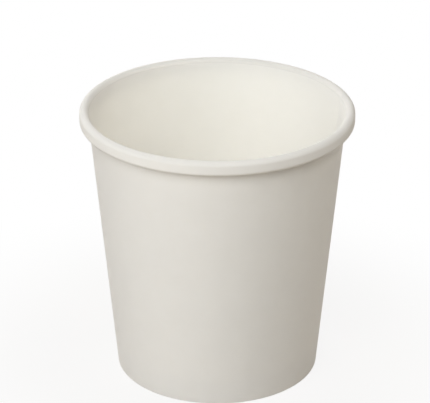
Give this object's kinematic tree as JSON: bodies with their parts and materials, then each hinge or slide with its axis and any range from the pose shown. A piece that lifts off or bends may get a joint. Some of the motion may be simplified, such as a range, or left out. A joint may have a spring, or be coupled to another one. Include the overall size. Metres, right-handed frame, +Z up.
{
  "type": "paper soup container",
  "caption": "Tapered round paper soup container with a hollow rolled rim, a lapped side seam and a recessed base disc.",
  "frame": {"origin": "on the container's axis, on the plane that it stands on", "axes": "+Z up along the container's axis, from the foot to the open rim; the side seam is 10 degrees from +X towards +Y"},
  "size_m": [0.098, 0.098, 0.1],
  "materials": {
    "wall_board": "matte bleached cup board, lightly sealed on the food side",
    "base_board": "matte bleached cup board, sealed on the food side"
  },
  "bodies": {
    "root": {"side_wall": "wall_board", "base_disc": "base_board"}
  },
  "joints": []
}
